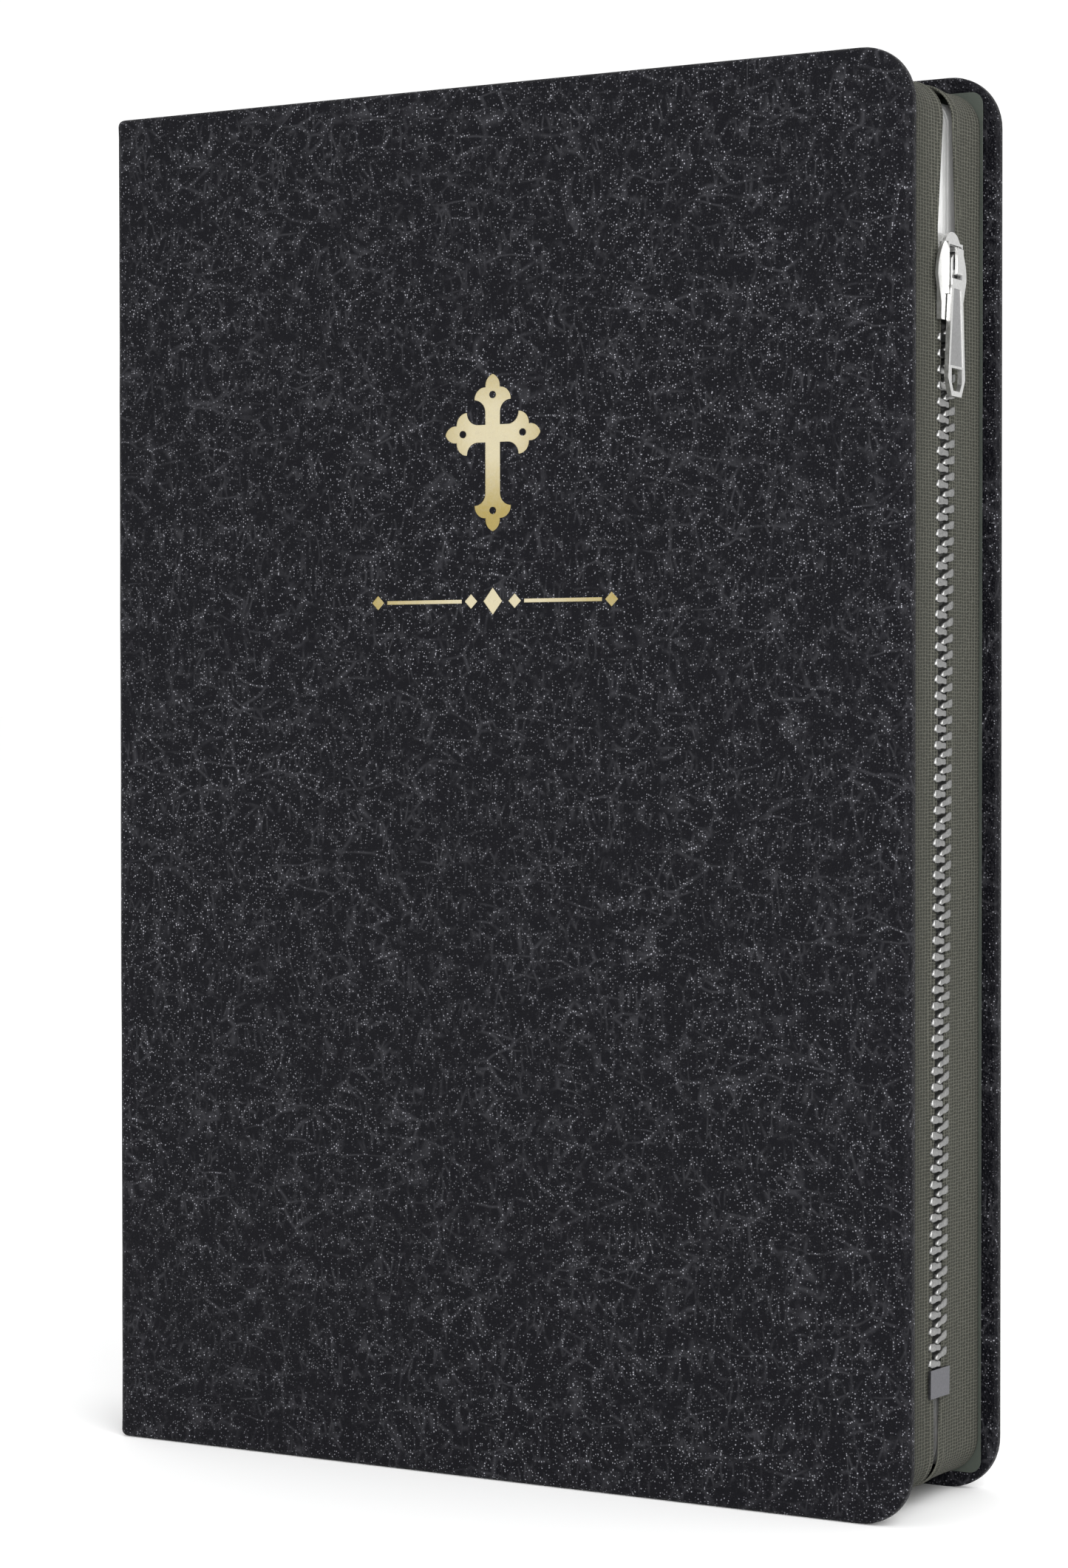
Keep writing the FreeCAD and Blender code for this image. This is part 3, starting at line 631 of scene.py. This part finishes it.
def gusset(side):
    """Soft woven wall with sewn ribs beside the slit."""
    sign = SIDES[side]
    zs, ys = slit_edge(side)
    path, lengths = wall_path()
    near_edge = np.arange(0.0, RIBBED, 0.1)
    columns = 2 * (len(near_edge) + BODY_STATIONS)
    points = []
    for (x, z, nx, nz), length in zip(path, lengths):
        edge = float(np.interp(z, zs, ys))
        root = sign * INNER_Y
        width = abs(edge - root)
        body = np.linspace(RIBBED, width, BODY_STATIONS)
        spans = np.concatenate([near_edge, body])
        ring = []
        for span in spans:
            y = edge + sign * span
            share = span / width
            soft = 0.10 * noise.noise(Vector((length / 17, y / 8, 3.0 * sign)))
            bulge = -0.22 * math.sin(math.pi * min(1.0, share * 1.1)) + soft
            rib = 0.045 * (1 - math.cos(2 * math.pi * span / RIB_PITCH)) if span < 2.5 else 0.0
            fold = -0.35 * math.exp(-((width - span) / 0.8) ** 2)
            out = min(0.0, bulge + fold) + rib - 0.05
            ring.append((x + nx * out, y, z + nz * out))
        points.extend(ring)
        inner = []
        for span in spans:
            y = edge + sign * span
            thick = np.interp(span, (0, 3.0), (EDGE_THICK, WALL_THICK))
            inner.append((x - nx * thick, y, z - nz * thick))
        points.extend(inner[::-1])
    rows = len(path)
    faces = grid_faces(rows, columns, closed=True)
    faces.append(tuple(range(columns)))
    faces.append(tuple(range((rows - 1) * columns, rows * columns)))
    wall = new_piece(f"{side}_woven_gusset", points, faces, WEAVE[side])
    uv = wall.data.uv_layers.new(name="cloth")
    for loop in wall.data.loops:
        row = loop.vertex_index // columns
        uv.data[loop.index].uv = (lengths[row], points[loop.vertex_index][1])
    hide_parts(f"{side}_gusset")
    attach(wall, f"{side}_cover")


for side in SIDES:
    gusset(side)


# ---------------------------------------------------------------- zip

def tooth_centres(node):
    """Middle of each separate tooth of a CAD row, from tail to head."""
    mesh = frame["nodes"][node].data
    work = bmesh.new()
    work.from_mesh(mesh)
    bmesh.ops.remove_doubles(work, verts=work.verts, dist=1e-7)
    seen, middles = set(), []
    for vert in work.verts:
        if vert.index in seen:
            continue
        stack, island = [vert], []
        seen.add(vert.index)
        while stack:
            current = stack.pop()
            island.append(current.co)
            for edge in current.link_edges:
                other = edge.other_vert(current)
                if other.index not in seen:
                    seen.add(other.index)
                    stack.append(other)
        points = np.array(island) / MM
        middles.append((points.min(axis=0) + points.max(axis=0)) / 2)
    work.free()
    return sorted(middles, key=lambda point: point[2])


TOOTH_LENGTH = 3.6
TOOTH_DEPTH = 1.3
TOOTH_TILT = {"front": -0.07, "back": 0.2}
TOOTH_SIDES = 16


def tooth_mesh(sign):
    """One tooth about the origin, as (half height, share of depth) at stations along it.

    It is thickest near its end on the tape, away from the slit.
    """
    work = bmesh.new()
    half = TOOTH_LENGTH / 2
    stations = [(-half, 0.34, 0.86), (-half + 0.16, 0.47, 0.96), (-half + 0.5, 0.52, 1.0),
                (-half + 1.2, 0.47, 1.0), (-0.2, 0.5, 0.98), (0.3, 0.64, 1.0),
                (half - 0.5, 0.7, 1.0), (half - 0.16, 0.64, 0.94), (half, 0.46, 0.84)]
    rings = []
    for along, half_high, depth in stations:
        ring = []
        half_deep = TOOTH_DEPTH / 2 * depth
        for turn in range(TOOTH_SIDES):
            angle = 2 * math.pi * (turn + 0.5) / TOOTH_SIDES
            c, s = math.cos(angle), math.sin(angle)
            x = half_deep * math.copysign(abs(c) ** 0.35, c)
            z = half_high * math.copysign(abs(s) ** 0.35, s)
            ring.append(work.verts.new((x, sign * along, z)))
        rings.append(ring)
    for first, second in zip(rings, rings[1:]):
        for k in range(TOOTH_SIDES):
            following = (k + 1) % TOOTH_SIDES
            work.faces.new((first[k], first[following], second[following], second[k]))
    work.faces.new(rings[0])
    work.faces.new(rings[-1])
    bmesh.ops.recalc_face_normals(work, faces=work.faces)
    verts = np.array([v.co for v in work.verts])
    work.verts.index_update()
    faces = [tuple(v.index for v in f.verts) for f in work.faces]
    work.free()
    return verts, faces


def teeth(side):
    """Row of teeth, each a little out of true, in the places of the CAD row."""
    sign = SIDES[side]
    shape, shape_faces = tooth_mesh(sign)
    verts, faces = [], []
    for number, middle in enumerate(tooth_centres(f"{side}_zip_teeth")):
        tilt = TOOTH_TILT[side] + 0.05 * math.sin(number * 12.9898 + sign)
        turned = shape.copy()
        turned[:, 2] = shape[:, 2] + shape[:, 1] * tilt
        base = len(verts)
        verts.extend((turned + middle).tolist())
        faces.extend(tuple(base + i for i in face) for face in shape_faces)
    row = new_piece(f"{side}_chain", verts, faces, TOOTH_METAL)
    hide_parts(f"{side}_zip_teeth")
    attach(row, f"{side}_cover")


for side in SIDES:
    teeth(side)


def panel(node, material):
    """Second material on the sunk face that looks towards +X, behind the raised rim."""
    obj = frame["nodes"][node]
    obj.data.materials.append(material)
    highest = max(v.co.x for v in obj.data.vertices)
    for polygon in obj.data.polygons:
        depth = (highest - polygon.center.x) / MM
        if polygon.normal.x > 0.99 and depth > 0.05:
            polygon.material_index = 1


RECESS_HALF = 2.2
RECESS_FROM, RECESS_TO = 0.5, 11.6
RECESS_SHIFT = -0.16
CHAIN_LEAN = 0.018


def slider_recess_black_and_shade():
    """Dark sheet on the floor of the slider's raised frame, leaning with the chain; its black is partly
    the floor's own colour and partly painted shade in the recess.
    """
    low, high = box_mm("slider_crown")
    body_low = box_mm("slider_body")[0]
    middle_y = (low[1] + high[1]) / 2
    foot = body_low[2]
    outline = [(-RECESS_HALF, RECESS_FROM), (RECESS_HALF, RECESS_FROM),
               (RECESS_HALF, RECESS_TO - 0.05), (RECESS_HALF - 0.3, RECESS_TO),
               (0.3 - RECESS_HALF, RECESS_TO), (-RECESS_HALF, RECESS_TO - 0.05)]
    verts = []
    for x in (low[0] - 0.02, low[0] + 0.04):
        verts += [(x, middle_y + RECESS_SHIFT + y + CHAIN_LEAN * z, foot + z) for y, z in outline]
    count = len(outline)
    faces = grid_faces(2, count, closed=True)
    faces += [tuple(range(count)), tuple(range(count, 2 * count))]
    floor_piece = new_piece("slider_recess_black_and_shade", verts, faces, RECESS_BLACK_AND_SHADE, smooth=False)
    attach(floor_piece, "slider")


bevel(paint("zip_bottom_stop", STOP_STEEL), 0.2)
bevel(paint("slider_body", SLIDER_METAL), 0.16)
bevel(paint("slider_crown", SLIDER_METAL), 0.12)
bevel(paint("pull_tab", SLIDER_METAL), 0.05, 2)
panel("pull_tab", PANEL_METAL)
paint("slider_lock_spring", STOP_STEEL)
slider_recess_black_and_shade()


# ---------------------------------------------------------------- text block

PAGE_CORNER = 4.5
LEAVES_SHOWN = 22
FOLD_REACH = 10.0
FIXED_SECTIONS = (4, 5)


def page_section(number):
    """Stack of leaves whose edges are slightly uneven; one that turns narrows to its fold."""
    node = f"page_section_{number}"
    low, high = box_mm(node)
    turns = number not in FIXED_SECTIONS
    fold = FOLD_REACH if turns else 0.0
    middle_y = (low[1] + high[1]) / 2
    half = (high[1] - low[1]) / 2
    verts = []
    layers = np.linspace(-1, 1, LEAVES_SHOWN + 1)
    for index, layer in enumerate(layers):
        uneven = 0.09 * noise.noise(Vector((index * 1.7, number * 5.3, 0.5)))
        inset = 0.05 + abs(uneven)
        x_high, z_low, z_high = high[0] - inset, low[2] + inset, high[2] - inset
        loop = [(low[0], z_low), (low[0] + fold + 0.01, z_low)]
        for z, start in ((z_low + PAGE_CORNER, -90), (z_high - PAGE_CORNER, 0)):
            for turn in np.linspace(start, start + 90, 9):
                a = math.radians(turn)
                loop.append((x_high - PAGE_CORNER + PAGE_CORNER * math.cos(a),
                             z + PAGE_CORNER * math.sin(a)))
        loop += [(low[0] + fold + 0.01, z_high), (low[0], z_high)]
        loop_size = len(loop)
        for x, z in loop:
            share = min(1.0, max(0.0, (x - low[0]) / fold)) if fold else 1.0
            narrow = 0.1 + (half - 0.1) * share if turns else half
            verts.append((x, middle_y + layer * narrow, z))
    faces = grid_faces(len(layers), loop_size, closed=True)
    faces.append(tuple(range(loop_size)))
    faces.append(tuple(range(LEAVES_SHOWN * loop_size, (LEAVES_SHOWN + 1) * loop_size)))
    block = new_piece(f"leaves_{number}", verts, faces, PAPER, smooth=False)
    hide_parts(node)
    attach(block, body_of_node(node))


def body_of_node(node):
    bodies = frame["record"]["behaviour"]["bodies"]
    return next(body for body, nodes in bodies.items() if node in nodes)


for number in range(1, 9):
    page_section(number)


BAND_SIDES = 14


def headband(end):
    """Corded band with a raised thread every millimetre."""
    node = f"headband_{end}"
    low, high = box_mm(node)
    verts = []
    ys = np.arange(low[1], high[1], 0.2)
    middle_x, middle_z = (low[0] + high[0]) / 2, (low[2] + high[2]) / 2
    for y in ys:
        swell = 0.93 + 0.07 * abs(math.sin(math.pi * y))
        for k in range(BAND_SIDES):
            a = 2 * math.pi * k / BAND_SIDES
            verts.append((middle_x + (high[0] - low[0]) / 2 * swell * math.cos(a), y,
                          middle_z + (high[2] - low[2]) / 2 * swell * math.sin(a)))
    faces = grid_faces(len(ys), BAND_SIDES, closed=True)
    faces.append(tuple(range(BAND_SIDES)))
    faces.append(tuple(range((len(ys) - 1) * BAND_SIDES, len(ys) * BAND_SIDES)))
    band = new_piece(f"band_{end}", verts, faces, BAND)
    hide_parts(node)
    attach(band, "book_block")


headband("head")
headband("tail")


# ---------------------------------------------------------------- floor, lights and camera

FLOOR_REACH = 60.0


def floor():
    """Pale plain floor, in metres, wide enough to meet the white surroundings."""
    s = Shader("floor_white", roughness=0.75, specular=0.2)
    s.colour((0.96, 0.96, 0.96))
    mesh = bpy.data.meshes.new("floor")
    reach = FLOOR_REACH
    mesh.from_pydata([(-reach, -reach, 0), (reach, -reach, 0), (reach, reach, 0),
                      (-reach, reach, 0)], [], [(0, 1, 2, 3)])
    mesh.materials.append(s.material)
    plane = bpy.data.objects.new("floor", mesh)
    bpy.context.scene.collection.objects.link(plane)


def area_light(name, place, target, width, height, power):
    light = bpy.data.lights.new(name, "AREA")
    light.shape = "RECTANGLE"
    light.size = width
    light.size_y = height
    light.energy = power
    obj = bpy.data.objects.new(name, light)
    obj.location = place
    obj.rotation_euler = (Vector(target) - Vector(place)).to_track_quat("-Z", "Y").to_euler()
    bpy.context.scene.collection.objects.link(obj)


def camera():
    """Stands about level with the book's middle, to the fore-edge side of the front."""
    yaw, pitch, roll = math.radians(30.62), math.radians(1.11), math.radians(-0.04)
    level = Vector((-math.sin(yaw), math.cos(yaw), 0))
    right = Vector((math.cos(yaw), math.sin(yaw), 0))
    up = Vector((0, 0, 1))
    ahead = level * math.cos(pitch) - up * math.sin(pitch)
    above = up * math.cos(pitch) + level * math.sin(pitch)
    tilted_right = right * math.cos(roll) + above * math.sin(roll)
    tilted_up = above * math.cos(roll) - right * math.sin(roll)
    data = bpy.data.cameras.new("camera")
    data.sensor_fit = "VERTICAL"
    data.sensor_height = 36.0
    data.lens = 86.91
    obj = bpy.data.objects.new("camera", data)
    turn = Matrix((tilted_right, tilted_up, -ahead)).transposed().to_4x4()
    obj.matrix_world = Matrix.Translation(Vector((0.31333, -0.53256, 0.12302))) @ turn
    bpy.context.scene.collection.objects.link(obj)
    bpy.context.scene.camera = obj


def white_world(strength):
    world = bpy.data.worlds.new("studio")
    world.use_nodes = True
    background = world.node_tree.nodes["Background"]
    background.inputs["Color"].default_value = (1.0, 1.0, 1.0, 1.0)
    background.inputs["Strength"].default_value = strength
    bpy.context.scene.world = world


floor()
white_world(1.05)
area_light("front_fill", (0.62, -1.05, 0.3), (0.03, 0, 0.11), 0.5, 0.5, 10)
area_light("key", (1.2, -0.7, 1.5), (0, 0, 0.05), 0.9, 0.9, 14)
camera()
bpy.context.scene.view_settings.view_transform = "Standard"
